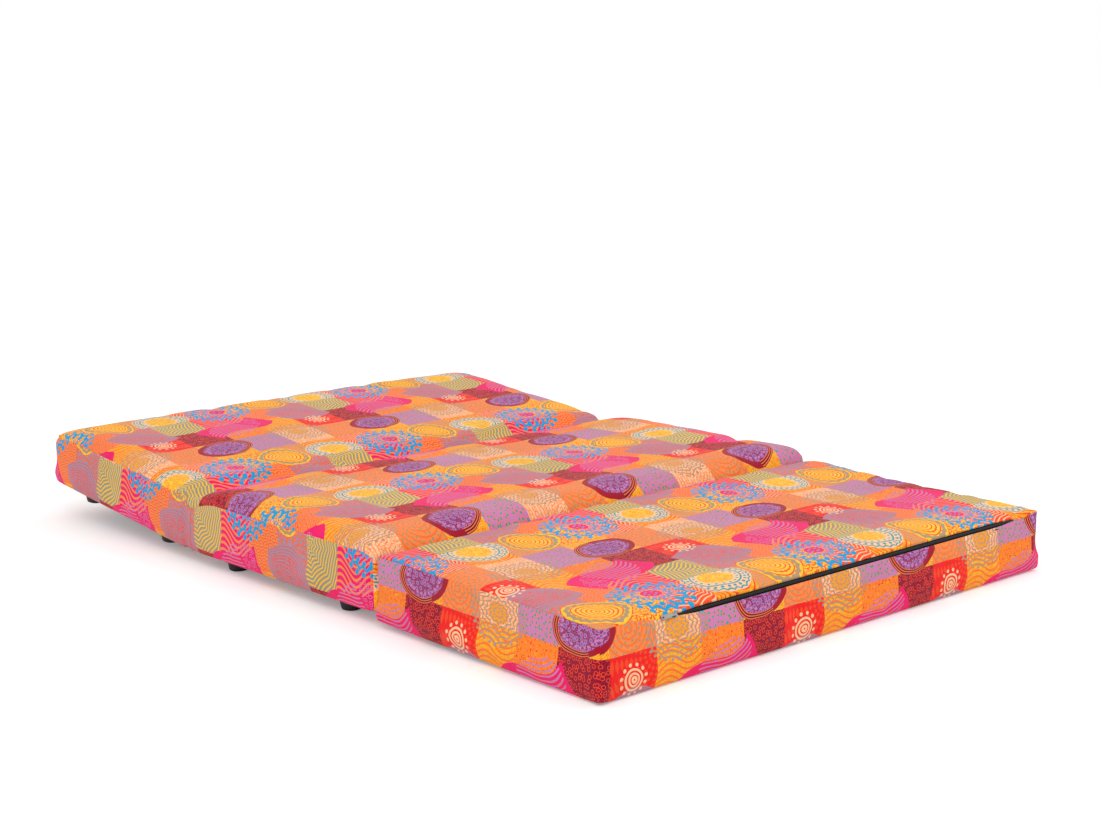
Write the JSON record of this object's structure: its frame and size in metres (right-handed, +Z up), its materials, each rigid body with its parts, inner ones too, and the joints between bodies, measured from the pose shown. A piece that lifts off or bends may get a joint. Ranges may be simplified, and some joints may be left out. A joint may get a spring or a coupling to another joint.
{
  "type": "chair bed",
  "caption": "Chair bed in patchwork covers: a seat base and a backrest on round feet, the backrest on ratchet hinges, and a zipped cushion that folds out at the foot end.",
  "frame": {"origin": "middle of the footprint of the bed, folded out flat, at floor level", "axes": "+X across the bed, to the right as seen from the foot end; +Y from the fold-out cushion to the backrest; +Z up"},
  "size_m": [1.2, 1.9016, 0.2064],
  "materials": {
    "patchwork_cloth": "printed woven cotton, matte",
    "wadding": "soft fibre, matte",
    "foam": "open cells, matte",
    "hardboard": "smooth brown board",
    "timber": "planed softwood",
    "dust_cloth": "black non-woven cloth, matte",
    "foot_plastic": "moulded black plastic",
    "steel": "zinc plated",
    "zip_tape": "woven black tape",
    "zip_teeth": "moulded black plastic",
    "zip_metal": "nickel plated"
  },
  "bodies": {
    "seat": {"seat_cover": "patchwork_cloth", "seat_wadding": "wadding", "seat_foam": "foam", "seat_deck": "hardboard", "seat_rail_left": "timber", "seat_rail_right": "timber", "seat_rail_front": "timber", "seat_rail_rear": "timber", "seat_rail_centre": "timber", "seat_foot_blocks": "timber", "seat_dust_cover": "dust_cloth", "seat_foot_left_front": "foot_plastic", "seat_foot_right_front": "foot_plastic", "seat_foot_left_rear": "foot_plastic", "seat_foot_right_rear": "foot_plastic", "seat_foot_screws": "steel", "seat_arm_left": "steel", "seat_arm_right": "steel", "seat_arm_screws": "steel", "hinge_pin_left": "steel", "hinge_pin_right": "steel", "hinge_washers": "steel", "back_web": "patchwork_cloth", "fold_web": "patchwork_cloth"},
    "back": {"back_cover": "patchwork_cloth", "back_wadding": "wadding", "back_foam": "foam", "back_deck": "hardboard", "back_rail_left": "timber", "back_rail_right": "timber", "back_rail_front": "timber", "back_rail_rear": "timber", "back_rail_centre": "timber", "back_foot_blocks": "timber", "back_dust_cover": "dust_cloth", "back_foot_left_front": "foot_plastic", "back_foot_right_front": "foot_plastic", "back_foot_left_rear": "foot_plastic", "back_foot_right_rear": "foot_plastic", "back_foot_screws": "steel", "back_arm_left": "steel", "back_arm_right": "steel", "back_arm_screws": "steel"},
    "foldout": {"foldout_cover": "patchwork_cloth", "foldout_wadding": "wadding", "foldout_foam": "foam", "foldout_base": "dust_cloth", "zip_tape_upper": "zip_tape", "zip_tape_lower": "zip_tape", "zip_teeth_upper": "zip_teeth", "zip_teeth_lower": "zip_teeth", "zip_stops": "zip_metal"},
    "zip_slider": {"zip_slider": "zip_metal"},
    "zip_pull": {"zip_pull": "zip_metal"}
  },
  "joints": [
    {"name": "back", "type": "hinge", "parent": "seat", "child": "back", "pos_m": [0, 0.33915, 0.123], "axis": [1, 0, 0], "range_deg": [-5.5, 84.5], "deforming": ["back_web"]},
    {"name": "fold", "type": "hinge", "parent": "seat", "child": "foldout", "pos_m": [0, -0.33325, 0.15849], "axis": [-1, 0, 0], "range_deg": [0, 180], "deforming": ["fold_web"]},
    {"name": "zip_slide", "type": "slide", "parent": "foldout", "child": "zip_slider", "axis": [1, 0, 0], "range_m": [0, 0.937], "deforming": ["zip_teeth_upper", "zip_teeth_lower"]},
    {"name": "zip_pull", "type": "hinge", "parent": "zip_slider", "child": "zip_pull", "pos_m": [-0.4207, -0.94328, 0.1174], "axis": [0, 0.6695, 0.7429], "range_deg": [0, 180]}
  ]
}
